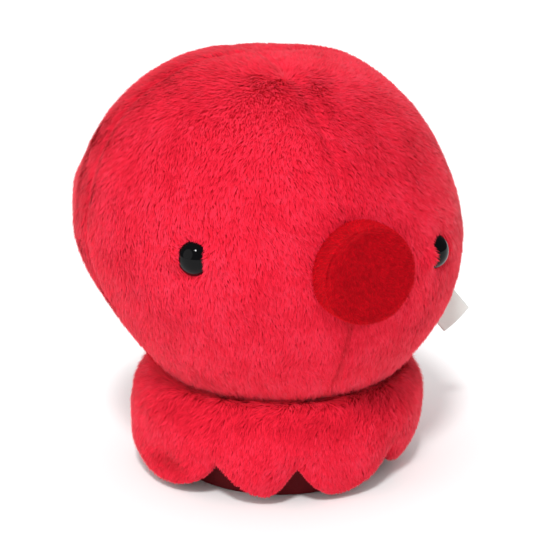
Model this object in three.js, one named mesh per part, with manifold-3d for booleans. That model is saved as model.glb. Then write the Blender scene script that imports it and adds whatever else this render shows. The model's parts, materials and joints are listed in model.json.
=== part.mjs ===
// Plush octopus: a big round head on a puffy skirt that ends in eight short legs.
// Millimetres, +Z up. The toy faces -Y and stands on its base panel at z = 0.
// An azimuth is counted from the face (-Y) towards +X, the toy's own left side.
import * as THREE from "three";
import { mergeVertices } from "three/addons/utils/BufferGeometryUtils.js";
import Module from "manifold-3d";

const wasm = await Module();
wasm.setup();

// ---- Driving dimensions -------------------------------------------------

const GAP = 0.35; // clearance between pieces that touch
const PLUSH = 3; // pile fabric: backing and pile together

const HEAD = {
  radius: 67.3, // at the widest height
  neck: 41.9, // radius of the neck opening
  halfHeight: 62, // from the widest height up to the crown
  shoulder: 2.6, // roundness of the outline: 2 is an ellipse, more is squarer
  crown: 1.9, // how the outline closes above the widest height
  chin: 1.6, // and below it
  offsetX: -3.6, // the stuffed head sits a little to one side of the skirt
  slant: -0.085, // and slants that way as it rises
};
const NECK_Z = 37.6; // the seam between head and skirt
const ALLOWANCE = { wide: 5, thick: 2.4, inset: 1 }; // of that seam, folded inwards
const TILT_ROOM = 12.8; // degrees of head tilt that the fillings leave room for

const FILLING_DROP = 2; // the skirt's filling ends this far below the neck seam

const SKIRT = {
  radius: 51.5, // at its widest
  wideZ: 20, // the height of that
  ease: 1.1, // between the seam allowance and the cloth at the skirt's top
  below: 37.6, // curvature length below the widest height
  groove: 3.5, // how far the fabric is drawn in between two legs
  grooveTopZ: 24, // where that begins
};
const LEGS = 8;
const LEG = {
  height: 11.6, // from the floor to the fold line
  thick: 6,
  notch: 9.4, // height of the gap between two legs
  roundness: 2.6, // of the scalloped hem
  lift: 0.5, // between the hem and the floor
  swing: 20, // degrees outwards
  frontAzimuth: 9, // the skirt is sewn on a little turned
};
const BASE = { setback: 9.2, thick: 1.2, edge: 0.4 }; // set back from the fold of the legs
const LINING = 1.2;
const PELLETS = { margin: 9, height: 13.5 }; // margin to the edge of the base

const EYE = { radius: 6, dome: 4.2, rim: 0.6, shank: 2.2, reach: 14, sink: 1.9 };
// up and down are counted from the head's widest height
const EYES = { right: { azimuth: -45.5, up: 7 }, left: { azimuth: 33.5, up: 1 } };
const WASHER = { radius: 7, thick: 1.4, curve: 0.6 }; // curve: room for the bend of the cloth
const SHANK_CLEARANCE = 0.3; // round the shank in the cloth and in the washer

const SNOUT = { radius: 16.3, length: 9.2, up: 2.5, azimuth: 1.7, cloth: 1.6, dome: 1.8 };
const LABEL = {
  wide: 13,
  long: 24,
  cloth: 0.4,
  fold: 0.3,
  down: 28.8, // from the head's widest height
  droop: 27, // degrees from straight out
  swing: 50, // degrees to each side
};

const RED = 0xf02f49;
const SNOUT_RED = 0xb50c1a;

// ---- Geometry helpers ---------------------------------------------------

const rad = THREE.MathUtils.degToRad;
const range = (n) => Array.from({ length: n }, (_, i) => i);
const mix = (a, b, t) => a + (b - a) * t;

// A point at a radius and height, turned to an azimuth.
function around(r, z, azimuth) {
  return new THREE.Vector3(r * Math.sin(azimuth), -r * Math.cos(azimuth), z);
}

// A closed geometry from corner points and triangles, without collapsed faces.
function closed(points, triangles) {
  const raw = new THREE.BufferGeometry();
  raw.setAttribute("position", new THREE.Float32BufferAttribute(points.flatMap((p) => p.toArray()), 3));
  raw.setIndex(triangles);
  const welded = mergeVertices(raw, 1e-3);
  const index = [];
  for (let i = 0; i < welded.index.count; i += 3) {
    const [a, b, c] = [0, 1, 2].map((k) => welded.index.getX(i + k));
    if (a !== b && b !== c && c !== a) index.push(a, b, c);
  }
  welded.setIndex(index);
  return facingOut(welded);
}

// The geometry with its faces turned outwards.
function facingOut(geometry) {
  const p = geometry.getAttribute("position");
  const index = Array.from(geometry.index.array);
  const v = [0, 1, 2].map(() => new THREE.Vector3());
  let volume = 0;
  for (let i = 0; i < index.length; i += 3) {
    v.forEach((corner, k) => corner.fromBufferAttribute(p, index[i + k]));
    volume += v[0].dot(v[1].clone().cross(v[2]));
  }
  if (volume < 0) index.reverse();
  geometry.setIndex(index);
  geometry.computeVertexNormals();
  return geometry;
}

// A section, a closed loop of [radius, height], carried from one azimuth to another.
// sectionAt gives the loop at each azimuth, always with the same number of points.
function sweep(sectionAt, from, to, steps) {
  const whole = Math.abs(to - from - 2 * Math.PI) < 1e-9;
  const turns = range(whole ? steps : steps + 1).map((i) => from + ((to - from) * i) / steps);
  const loops = turns.map(sectionAt);
  const n = loops[0].length;
  const points = loops.flatMap((loop, i) => loop.map(([r, z]) => around(r, z, turns[i])));
  const triangles = [];
  range(steps).forEach((i) => {
    const next = (i + 1) % turns.length;
    range(n).forEach((j) => {
      const k = (j + 1) % n;
      const [a, b, c, d] = [i * n + j, i * n + k, next * n + k, next * n + j];
      triangles.push(a, b, c, a, c, d);
    });
  });
  if (!whole) {
    const cap = (loop, first) => {
      const flat = loop.map(([r, z]) => new THREE.Vector2(r, z));
      THREE.ShapeUtils.triangulateShape(flat, [])
        .forEach((face) => triangles.push(...face.map((corner) => first + corner)));
    };
    cap(loops[0], 0);
    cap(loops[steps], steps * n);
  }
  return closed(points, windCaps(points, triangles));
}

// Turns each triangle that runs the same way along an edge as its neighbour does.
function windCaps(points, triangles) {
  const key = (p) => p.toArray().map((x) => Math.round(x * 1000)).join();
  const ids = points.map(key);
  const edges = new Set();
  const out = [];
  for (let i = 0; i < triangles.length; i += 3) {
    let face = triangles.slice(i, i + 3);
    const sides = (f) => [0, 1, 2].map((k) => ids[f[k]] + ">" + ids[f[(k + 1) % 3]]);
    if (new Set(face.map((corner) => ids[corner])).size < 3) continue;
    if (sides(face).some((side) => edges.has(side))) face = [face[0], face[2], face[1]];
    sides(face).forEach((side) => edges.add(side));
    out.push(...face);
  }
  return out;
}

const FULL = [0, 2 * Math.PI];
const ring = (loop, steps) => sweep(() => loop, ...FULL, steps);

// Boolean work on closed geometries.
function toSolid(geometry) {
  const bare = new THREE.BufferGeometry();
  bare.setAttribute("position", geometry.getAttribute("position").clone());
  bare.setIndex(geometry.index);
  const welded = mergeVertices(bare, 1e-3);
  const vertProperties = new Float32Array(welded.getAttribute("position").array);
  const triVerts = new Uint32Array(welded.index.array);
  return new wasm.Manifold(new wasm.Mesh({ numProp: 3, vertProperties, triVerts }));
}

function fromSolid(solid) {
  const { vertProperties, triVerts } = solid.getMesh();
  const geometry = new THREE.BufferGeometry();
  geometry.setAttribute("position", new THREE.Float32BufferAttribute(vertProperties, 3));
  geometry.setIndex(Array.from(triVerts));
  geometry.computeVertexNormals();
  return geometry;
}

const cut = (geometry, ...tools) =>
  fromSolid(tools.reduce((solid, tool) => solid.subtract(toSolid(tool)), toSolid(geometry)));

// ---- The head's shape ---------------------------------------------------

// The gores start just above the neck seam, and the neck's width there sets the widest height.
const goreFloor = NECK_Z + GAP;
const neckShare = (1 - (HEAD.neck / HEAD.radius) ** HEAD.shoulder) ** (1 / HEAD.chin);
const headMidZ = goreFloor + neckShare * HEAD.halfHeight;

// Height and radius of the head at an angle from the crown, drawn in by inset.
function headOutline(angle, inset) {
  const up = Math.cos(angle);
  const curve = up > 0 ? HEAD.crown : HEAD.chin;
  const rise = Math.sign(up) * Math.abs(up) ** (2 / curve) * (HEAD.halfHeight - inset);
  return [(HEAD.radius - inset) * Math.sin(angle) ** (2 / HEAD.shoulder), headMidZ + rise];
}

// The angle from the crown at which the head's outline comes down to a height.
function headAngle(z, inset) {
  const share = (z - headMidZ) / (HEAD.halfHeight - inset);
  const curve = share > 0 ? HEAD.crown : HEAD.chin;
  return Math.acos(Math.sign(share) * Math.abs(share) ** (curve / 2));
}

// Outline points from the crown down to a height.
function headCurve(inset, downTo, steps) {
  const last = headAngle(downTo, inset);
  return range(steps + 1).map((i) => {
    const [r, z] = headOutline((last * i) / steps, inset);
    return i === 0 ? [0, z] : [r, z];
  });
}

// The head's own slant and offset, as a matrix.
const lean = new THREE.Matrix4().set(
  1, 0, HEAD.slant, HEAD.offsetX - HEAD.slant * headMidZ,
  0, 1, 0, 0,
  0, 0, 1, 0,
  0, 0, 0, 1,
);

// The whole head, made larger all round by some room.
const wholeHead = (room) =>
  ring([...headCurve(-room, goreFloor, 24), [0, goreFloor]], 72).applyMatrix4(lean);

// A point on the head's fur, and the direction straight out of it there.
function onHead(azimuthDegrees, z) {
  const azimuth = rad(azimuthDegrees);
  const at = (turn, height) =>
    around(headOutline(headAngle(height, 0), 0)[0], height, turn).applyMatrix4(lean);
  const point = at(azimuth, z);
  const along = at(azimuth + 1e-3, z).sub(point);
  const up = at(azimuth, z + 1e-2).sub(point);
  return { point, out: along.cross(up).normalize() };
}

// A turned shape whose axis leaves a point in a direction; its profile is [radius, distance out].
function turned(profile, steps, point, out) {
  const loop = profile.map(([r, y]) => new THREE.Vector2(r, y));
  const lathe = new THREE.LatheGeometry(loop, steps);
  lathe.deleteAttribute("normal");
  lathe.deleteAttribute("uv");
  const turn = new THREE.Quaternion().setFromUnitVectors(new THREE.Vector3(0, 1, 0), out);
  lathe.applyQuaternion(turn).translate(point.x, point.y, point.z);
  const corners = mergeVertices(lathe, 1e-3);
  const p = corners.getAttribute("position");
  const points = range(p.count).map((i) => new THREE.Vector3().fromBufferAttribute(p, i));
  return closed(points, Array.from(corners.index.array));
}

// ---- Scene graph --------------------------------------------------------

const octopus = new THREE.Group();
const headGroup = new THREE.Group();
const skirtGroup = new THREE.Group();
octopus.add(headGroup, skirtGroup);

function piece(group, name, geometry, color, roughness) {
  const mesh = new THREE.Mesh(geometry, new THREE.MeshStandardMaterial({ color, roughness, metalness: 0 }));
  mesh.name = name;
  group.add(mesh);
  return mesh;
}

// ---- Eyes: domed caps on a shank, each held by a washer inside -----------

const washerDepth = PLUSH + GAP + WASHER.curve; // from the fur to the washer
const shankHole = EYE.shank + SHANK_CLEARANCE;

function eyeProfile() {
  const dome = range(6).map((i) => {
    const turn = (Math.PI / 2) * (i / 5);
    return [EYE.radius * Math.sin(turn), EYE.dome * Math.cos(turn)];
  });
  return [
    ...dome,
    [EYE.radius - EYE.rim, -EYE.rim],
    [EYE.shank, -1.3 * EYE.rim],
    [EYE.shank, EYE.rim - EYE.reach],
    [EYE.shank - EYE.rim, -EYE.reach],
    [0, -EYE.reach],
  ];
}

const cylinderProfile = (radius, low, high) => [[0, low], [radius, low], [radius, high], [0, high]];

const eyeTools = { cloth: [], filling: [] };
for (const [side, place] of Object.entries(EYES)) {
  const { point, out } = onHead(place.azimuth, headMidZ + place.up);
  const seat = point.clone().addScaledVector(out, -EYE.sink);
  piece(headGroup, `eye_${side}`, turned(eyeProfile(), 24, seat, out), 0x050505, 0.15);
  const back = -washerDepth - WASHER.thick;
  const washer = [
    [shankHole, back],
    [WASHER.radius, back],
    [WASHER.radius, -washerDepth],
    [shankHole, -washerDepth],
    [shankHole, back],
  ];
  piece(headGroup, `eye_washer_${side}`, turned(washer, 24, point, out), 0xe8e6df, 0.5);
  const pocket = cylinderProfile(EYE.radius + GAP, -EYE.sink - EYE.rim - GAP, 2 * EYE.dome);
  const hole = cylinderProfile(shankHole, -3 * PLUSH, 0);
  const clear = cylinderProfile(WASHER.radius + GAP, back - GAP, GAP - washerDepth);
  const clothTools = [pocket, hole, clear];
  eyeTools.cloth.push(...clothTools.map((profile) => turned(profile, 24, point, out)));
  const nest = cylinderProfile(WASHER.radius + GAP, back - GAP, 2 * EYE.dome);
  const bore = cylinderProfile(shankHole, -EYE.sink - EYE.reach - GAP, 0);
  eyeTools.filling.push(turned(nest, 24, point, out), turned(bore, 16, point, out));
}

// ---- Head: four gores round one filling ---------------------------------

function goreSection() {
  const outer = headCurve(0, goreFloor, 16);
  const inner = headCurve(PLUSH, goreFloor, 16);
  return [...outer, ...inner.reverse()];
}

function gore(quarter) {
  const from = (Math.PI / 2) * quarter;
  const geometry = sweep(goreSection, from, from + Math.PI / 2, 9);
  const apart = around((GAP * Math.SQRT2) / 2, 0, from + Math.PI / 4);
  return geometry.translate(apart.x, apart.y, 0).applyMatrix4(lean);
}

const headFilling = () => {
  const neckRadius = headOutline(headAngle(goreFloor + PLUSH, PLUSH + GAP), PLUSH + GAP)[0];
  const side = headCurve(PLUSH + GAP, goreFloor + PLUSH, 16);
  const bottom = [[neckRadius / 2, NECK_Z + 0.5 * PLUSH - GAP], [0, NECK_Z - GAP]];
  return ring([...side, ...bottom], 36).applyMatrix4(lean);
};

[
  ["head_front_left", 0],
  ["head_back_left", 1],
  ["head_back_right", 2],
  ["head_front_right", 3],
].forEach(([name, quarter]) => {
  const cloth = gore(quarter);
  const front = name.startsWith("head_front");
  piece(headGroup, name, front ? cut(cloth, ...eyeTools.cloth) : cloth, RED, 0.95);
});
piece(headGroup, "head_filling", cut(headFilling(), ...eyeTools.filling), 0xf4f2ec, 1);

// ---- Snout: a short stuffed tube with a domed end ------------------------

const snoutOut = around(1, 0, rad(SNOUT.azimuth));
const snoutRoot = onHead(SNOUT.azimuth, headMidZ + SNOUT.up).point;
const snoutRim = SNOUT.length - SNOUT.dome - SNOUT.cloth;
const snoutStart = -SNOUT.radius / 2; // inside the head, before it is trimmed to it
const snoutInner = SNOUT.radius - SNOUT.cloth;

const band = [
  [snoutInner, snoutStart],
  [SNOUT.radius, snoutStart],
  [SNOUT.radius, snoutRim - 2],
  [SNOUT.radius - 0.4, snoutRim - 0.7],
  [SNOUT.radius - 1.2, snoutRim],
  [snoutInner, snoutRim],
  [snoutInner, snoutStart],
];
const domed = range(5).map((i) => {
  const turn = (Math.PI / 2) * (1 - i / 4);
  return [(SNOUT.radius - 0.8) * Math.sin(turn), SNOUT.length - SNOUT.dome * (1 - Math.cos(turn))];
});
const endDisc = [[0, snoutRim + GAP], [SNOUT.radius - 1.4, snoutRim + GAP], ...domed];
const snoutCore = cylinderProfile(snoutInner - GAP, snoutStart, snoutRim);
[
  ["snout_side_band", band, SNOUT_RED, 0.9],
  ["snout_filling", snoutCore, 0xf4f2ec, 1],
].forEach(([name, profile, color, roughness]) => {
  const geometry = turned(profile, 32, snoutRoot, snoutOut);
  piece(headGroup, name, cut(geometry, wholeHead(GAP)), color, roughness);
});
piece(headGroup, "snout_end_disc", turned(endDisc, 32, snoutRoot, snoutOut), SNOUT_RED, 0.9);

// ---- Care label: a folded strip that hangs out of the left side seam --------

const labelRoot = onHead(90, headMidZ - LABEL.down);
const labelAcross = new THREE.Vector3(0, 1, 0);
const labelOut = labelRoot.out.clone().applyAxisAngle(labelAcross, rad(LABEL.droop));
const labelUp = labelOut.clone().cross(labelAcross);
const labelStart = -LABEL.wide; // inside the head, before it is trimmed to it
const layer = LABEL.cloth + LABEL.fold / 2;
const labelRoom = layer * Math.tan(rad(LABEL.swing)) + GAP / 2; // keeps it off the head as it swings
const labelOutline = new THREE.Shape([
  new THREE.Vector2(labelStart, -layer),
  new THREE.Vector2(LABEL.long - layer, -layer),
  new THREE.Vector2(LABEL.long, 0),
  new THREE.Vector2(LABEL.long - layer, layer),
  new THREE.Vector2(labelStart, layer),
  new THREE.Vector2(labelStart, LABEL.fold / 2),
  new THREE.Vector2(LABEL.long - layer, LABEL.fold / 2),
  new THREE.Vector2(LABEL.long - layer, -LABEL.fold / 2),
  new THREE.Vector2(labelStart, -LABEL.fold / 2),
]);
const strip = new THREE.ExtrudeGeometry(labelOutline, { depth: LABEL.wide, bevelEnabled: false })
  .translate(0, 0, -LABEL.wide / 2)
  .applyMatrix4(new THREE.Matrix4().makeBasis(labelOut, labelAcross, labelUp))
  .translate(...labelRoot.point.toArray());
strip.deleteAttribute("normal");
strip.deleteAttribute("uv");
piece(headGroup, "care_label", cut(mergeVertices(strip, 1e-3), wholeHead(labelRoom)), 0xf5f5f2, 0.6);

// ---- Neck: the folded allowance of the seam between head and skirt ---------

const neckOuter = HEAD.neck - ALLOWANCE.inset;
const neckInner = neckOuter - ALLOWANCE.wide;
const neckLow = NECK_Z - ALLOWANCE.thick;
piece(
  headGroup,
  "neck_seam_allowance",
  ring([[neckInner, neckLow], [neckOuter, neckLow], [neckOuter, NECK_Z], [neckInner, NECK_Z]], 36),
  RED,
  0.95,
);

// ---- Skirt ----------------------------------------------------------------

const legAngle = (2 * Math.PI) / LEGS;
const firstLeg = rad(LEG.frontAzimuth);
const skirtTop = NECK_Z - GAP;
const skirtTopRadius = neckOuter + GAP + SKIRT.ease + PLUSH;
const topNarrowing = 1 - (skirtTopRadius / SKIRT.radius) ** 2;

// Outer radius of the skirt at a height; between two legs the fabric is drawn in.
function skirtRadius(z, fromLegMiddle) {
  const above = topNarrowing * ((z - SKIRT.wideZ) / (skirtTop - SKIRT.wideZ)) ** 3;
  const below = ((SKIRT.wideZ - z) / SKIRT.below) ** 3;
  const r = SKIRT.radius * Math.sqrt(1 - (z > SKIRT.wideZ ? above : below));
  const betweenLegs = Math.abs(fromLegMiddle / (legAngle / 2)) ** 3;
  const low = THREE.MathUtils.smoothstep(SKIRT.grooveTopZ - z, 0, SKIRT.grooveTopZ - LEG.height);
  return r - SKIRT.groove * betweenLegs * low;
}

// Azimuth measured from the middle of the nearest leg.
function fromLeg(azimuth) {
  const turns = (azimuth - firstLeg) / legAngle;
  return (turns - Math.round(turns)) * legAngle;
}

// A leg turns about its inner top edge, so the skirt above it ends in a slope that clears it.
const foldZ = LEG.height + GAP;
const foldRadius = skirtRadius(LEG.height, 0) - LEG.thick;
const hemClearance = LEG.thick * Math.tan(rad(LEG.swing));
const skirtFloor = foldZ + hemClearance + GAP;

function skirtSection(azimuth) {
  const off = fromLeg(azimuth);
  const heights = range(8).map((i) => mix(skirtFloor, skirtTop, i / 7));
  const outer = heights.map((z) => [skirtRadius(z, off), z]);
  const inner = heights.map((z) => [skirtRadius(z, off) - PLUSH, z]);
  return [...outer, ...inner.reverse()];
}

const seamTurn = Math.PI / 2; // side seams at the toy's left and right
const seamGap = GAP / 2 / SKIRT.radius;
[
  ["skirt_front", -seamTurn],
  ["skirt_back", seamTurn],
].forEach(([name, from]) => {
  const cloth = sweep(skirtSection, from + seamGap, from + Math.PI - seamGap, 36);
  piece(skirtGroup, name, cloth, RED, 0.95);
});

// Section of a leg at an azimuth from its middle: a padded flap with a rounded, scalloped hem.
function legSection(off) {
  const hem = LEG.lift + LEG.notch * Math.abs(off / (legAngle / 2)) ** LEG.roundness;
  const at = (share, inwards) => {
    const z = mix(hem, LEG.height, share);
    return [skirtRadius(z, off) - inwards * LEG.thick, z];
  };
  return [
    at(1, 0), at(0.7, 0), at(0.4, 0.02), at(0.18, 0.1), at(0.04, 0.28), at(0, 0.5),
    at(0.06, 0.76), at(0.25, 0.95), at(0.6, 1), at(1, 1),
  ];
}

const legHalf = legAngle / 2 - GAP / 2 / foldRadius;
range(LEGS).forEach((i) => {
  const leg = piece(skirtGroup, `leg_${i + 1}`, sweep(legSection, -legHalf, legHalf, 12), RED, 0.95);
  leg.rotation.z = firstLeg + i * legAngle;
});

// ---- Underside, filling and weight -----------------------------------------

const baseTop = BASE.thick;
const baseRadius = foldRadius - BASE.setback;
piece(
  skirtGroup,
  "base_panel",
  ring(
    [[0, 0], [baseRadius - BASE.edge, 0], [baseRadius, BASE.edge], [baseRadius, baseTop], [0, baseTop]],
    48,
  ),
  0x8f0f1f,
  0.95,
);

// The lining runs from the base panel up behind the legs to the fold line.
const liningFoot = baseRadius + GAP + LINING;
const liningTop = foldRadius - SKIRT.groove - 2 * GAP;
const liningMiddle = [mix(liningFoot, liningTop, 0.45), mix(BASE.edge, foldZ, 0.5)];
const liningSection = (inset, lowZ) => [
  [liningFoot - inset, lowZ],
  [liningMiddle[0] - inset, liningMiddle[1]],
  [liningTop - inset, foldZ],
];
piece(
  skirtGroup,
  "skirt_lining",
  ring([...liningSection(0, BASE.edge), ...liningSection(LINING, baseTop + GAP).reverse()], 48),
  0x8f0f1f,
  0.95,
);

const bagFloor = baseTop + GAP;
const bagRadius = baseRadius - PELLETS.margin;
const bagCurve = (grow, from, steps) =>
  range(steps + 1).map((i) => {
    const turn = mix(from, Math.PI, i / steps);
    const half = PELLETS.height / 2;
    const r = i === steps ? 0 : (bagRadius + grow) * Math.sin(turn) ** 0.7;
    return [r, bagFloor + half - (half + grow) * Math.sign(Math.cos(turn)) * Math.abs(Math.cos(turn)) ** 0.8];
  });
piece(skirtGroup, "pellet_bag", ring(bagCurve(0, 0, 12), 32), 0xd9d4c6, 0.9);

// Skirt filling: it leaves room above for the head to tilt and below for the pellet bag.
const tiltDrop = Math.tan(rad(TILT_ROOM));
const fillTop = NECK_Z - FILLING_DROP;
const fillShoulder = foldRadius;
const shoulderZ = fillTop - fillShoulder * tiltDrop - GAP;
const shelfZ = skirtFloor + GAP;
const besideCloth = (share) => {
  const z = mix(shelfZ, shoulderZ, share);
  return [skirtRadius(z, legAngle / 2) - PLUSH - GAP, z];
};
const liningInside = liningTop - LINING - GAP;
const skirtFilling = [
  [0, fillTop],
  [fillShoulder / 2, mix(fillTop, shoulderZ, 0.5)],
  [fillShoulder, shoulderZ],
  ...[0.7, 0.3, 0].map(besideCloth),
  [liningInside, shelfZ],
  [liningMiddle[0] - LINING - 2 * GAP, liningMiddle[1]],
  [liningFoot - LINING - 4 * GAP, baseTop + GAP],
  ...bagCurve(2 * GAP, Math.PI / 2, 8).map(([r, z], i) => (i === 0 ? [r, baseTop + GAP] : [r, z])),
];
piece(skirtGroup, "skirt_filling", ring(skirtFilling, 48), 0xf4f2ec, 1);

export default octopus;
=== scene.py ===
"""A plush octopus: a big furry head on a puffy skirt that ends in eight short legs.

Metres, +Z up. The toy faces -Y, and an azimuth is counted from its face towards +X, its own left side.
"""

import json
import math

import bmesh
import bpy
import numpy as np
from bpy.props import FloatProperty, FloatVectorProperty, IntProperty, PointerProperty
from mathutils import Matrix, Vector, noise


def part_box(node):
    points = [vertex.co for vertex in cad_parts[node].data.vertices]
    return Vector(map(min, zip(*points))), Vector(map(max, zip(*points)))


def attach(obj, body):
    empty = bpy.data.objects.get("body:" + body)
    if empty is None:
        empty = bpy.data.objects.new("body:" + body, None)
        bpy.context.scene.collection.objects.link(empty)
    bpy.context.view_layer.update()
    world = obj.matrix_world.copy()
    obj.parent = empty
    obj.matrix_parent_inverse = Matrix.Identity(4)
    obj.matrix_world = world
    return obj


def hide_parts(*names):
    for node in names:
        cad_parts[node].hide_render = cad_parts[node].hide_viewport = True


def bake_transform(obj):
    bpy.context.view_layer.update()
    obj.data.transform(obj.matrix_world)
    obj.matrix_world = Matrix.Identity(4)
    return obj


bl_info = {
    "name": "Plush octopus",
    "version": (1, 0, 0),
    "blender": (4, 5, 0),
    "location": "3D View > Sidebar > Octopus",
    "description": "Sews, stuffs and lights a plush octopus on its packed frame",
    "category": "Add Mesh",
}

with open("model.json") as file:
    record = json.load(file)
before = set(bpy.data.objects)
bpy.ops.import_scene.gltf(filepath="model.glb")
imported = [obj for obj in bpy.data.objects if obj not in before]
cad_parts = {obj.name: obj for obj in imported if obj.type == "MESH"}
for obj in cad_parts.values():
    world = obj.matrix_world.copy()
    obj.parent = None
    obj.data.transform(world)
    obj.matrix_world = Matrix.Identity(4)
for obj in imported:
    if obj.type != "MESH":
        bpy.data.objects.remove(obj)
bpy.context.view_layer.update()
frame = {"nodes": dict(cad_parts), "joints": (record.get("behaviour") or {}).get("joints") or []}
JOINTS = {joint["name"]: joint for joint in frame["joints"]}

MM = 0.001
QUARTER = math.pi / 2
UP = np.array([0, 0, 1.0])
LEVEL = np.array([1, 1, 0])  # leaves only the level part of a vector
LEG_BODIES = [f"leg_{letter}" for letter in "abcdefgh"]
LEG_TURN = 2 * math.pi / len(LEG_BODIES)

# Each gore of the head: its name, and the quarter turn that it starts at.
GORES = [("front_left", 0), ("back_left", 1), ("back_right", 2), ("front_right", 3)]

HEAD_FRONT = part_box("head_front_left")
NECK_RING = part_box("neck_seam_allowance")
SKIRT_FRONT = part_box("skirt_front")
SNOUT_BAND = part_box("snout_side_band")
SNOUT_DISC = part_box("snout_end_disc")

BACKING = 0.45 * MM  # thickness of the plush's knitted backing
TONES = 48.0  # how many shades of strand the pile's map holds
STRAND_TONE = 0.09  # how far the tone of single strands differs, up or down
TUFT_TONE = 0.16  # how far the tone of tufts differs, from the darkest to the palest
STRAND_TILT = 0.10  # how far a strand's shading leans from the cloth's by chance
TUFT_TILT = 0.26  # and with its tuft
SHORTEST_PILE = 0.12  # share of the full strand below which the cloth is bare
RIM_PILE = 0.62  # share of the full strand at the rim of an eye or the snout
RIM_REACH = 3.5 * MM  # distance from the rim where the pile has its full length
EYE_HOLE_SQUEEZE = 1.35  # how much narrower than tall the hole in the pile round an eye is

# ---- Settings -----------------------------------------------------------


def length(name, default, description):
    return FloatProperty(name=name, description=description, default=default, unit="LENGTH", precision=5)


def angle(name, degrees, description):
    default = math.radians(degrees)
    return FloatProperty(name=name, description=description, default=default, subtype="ANGLE")


def factor(name, default, description):
    return FloatProperty(name=name, description=description, default=default)


def colour(name, default, description):
    return FloatVectorProperty(
        name=name, description=description, default=default, size=3, min=0, max=1, subtype="COLOR"
    )


class HeadSettings(bpy.types.PropertyGroup):
    radius: length("Radius", -HEAD_FRONT[0].y, "Radius of the head at its widest height")
    height: length("Crown height", 62 * MM, "From the widest height up to the crown")
    crown_z: length("Crown", HEAD_FRONT[1].z, "Height of the crown above the table")
    neck_z: length("Neck", NECK_RING[1].z, "Height of the neck seam")
    shoulder: factor("Shoulder", 2.6, "Roundness of the outline: 2 is an ellipse, more is squarer")
    crown: factor("Crown curve", 1.9, "How the outline closes above the widest height")
    chin: factor("Chin curve", 1.6, "How the outline closes below the widest height")
    offset: length("Offset", -3.6 * MM, "How far the head sits to the toy's left of its skirt")
    slant: factor("Slant", -0.085, "Sideways shift of the head for each metre of height")
    seam_depth: length("Seam depth", 0.6 * MM, "How far the seams draw the cloth in")
    seam_width: length("Seam width", 1.8 * MM, "How far from a seam the cloth is drawn in")
    lump: length("Lumps", 0.7 * MM, "Height of the soft lumps of the filling")


class SkirtSettings(bpy.types.PropertyGroup):
    radius: length("Radius", SKIRT_FRONT[1].x, "Radius of the skirt at its widest height")
    top_radius: length("Neck radius", NECK_RING[1].x + 4.45 * MM, "Radius of the skirt at the neck seam")
    top_z: length("Top", SKIRT_FRONT[1].z, "Height of the skirt's upper edge")
    wide_z: length("Widest height", 20 * MM, "Height at which the skirt is widest")
    below: length("Lower curve", 37.6 * MM, "Length of the curve below the widest height")
    groove: length("Groove", 3.5 * MM, "How far the cloth is drawn in between two legs")
    groove_z: length("Groove top", 24 * MM, "Height at which the grooves between the legs begin")
    leg_height: length("Leg height", 11.6 * MM, "Height of the fold line of the legs")
    leg_thick: length("Leg thickness", 6 * MM, "Thickness of a padded leg")
    notch: length("Notch", 15.0 * MM, "Height of the gap between two legs")
    roundness: factor("Hem roundness", 2.2, "Roundness of the scalloped hem")
    first_leg: angle("First leg", 9, "Azimuth of the first leg")


class PileSettings(bpy.types.PropertyGroup):
    depth: length("Depth", 1.2 * MM, "Depth of the pile over the cloth")
    strand: length("Strand", 2.5 * MM, "Length of a combed strand")
    width: length("Strand width", 0.39 * MM, "Width of a strand at its root")
    density: factor("Density", 5.0e6, "Strands for each square metre of cloth")
    tuft: length("Tuft", 1.25 * MM, "Size of the tufts that the strands gather in")
    gather: factor("Gathering", 0.2, "How far the strands lean together into tufts")
    mess: angle("Mess", math.degrees(0.3), "How far a strand turns from the nap")
    seed: IntProperty(name="Seed", description="Fixed start of the random strands", default=3)


class FaceSettings(bpy.types.PropertyGroup):
    eye_radius: length("Eye radius", 6 * MM, "Radius of an eye")
    eye_dome: length("Eye dome", 4.2 * MM, "Height of an eye's dome above its rim")
    eye_reach: length("Eye shank", 14 * MM, "Length of an eye's shank")
    eye_dent: length("Eye dent", 1.0 * MM, "How far an eye draws the cloth in")
    eye_fold: length("Eye fold", 2.8 * MM, "How far the cloth swells up at both sides of an eye")
    snout_radius: length(
        "Snout radius", (SNOUT_BAND[1].x - SNOUT_BAND[0].x) / 2, "Outer radius of the snout"
    )
    snout_length: length("Snout length", 9.2 * MM, "How far the snout stands out of the head")
    snout_turn: angle("Snout turn", 1.7, "Azimuth that the snout points to")
    snout_pile: length("Snout pile", 0.9 * MM, "Length of the snout's short pile")
    label_thick: length("Label cloth", 0.22 * MM, "Thickness of the label's ribbon")
    label_long: length("Label length", 24 * MM, "How far the folded label hangs out")
    label_wide: length("Label width", 13 * MM, "Width of the label's ribbon")
    label_droop: angle("Label droop", 27, "How far the label hangs down")


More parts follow.
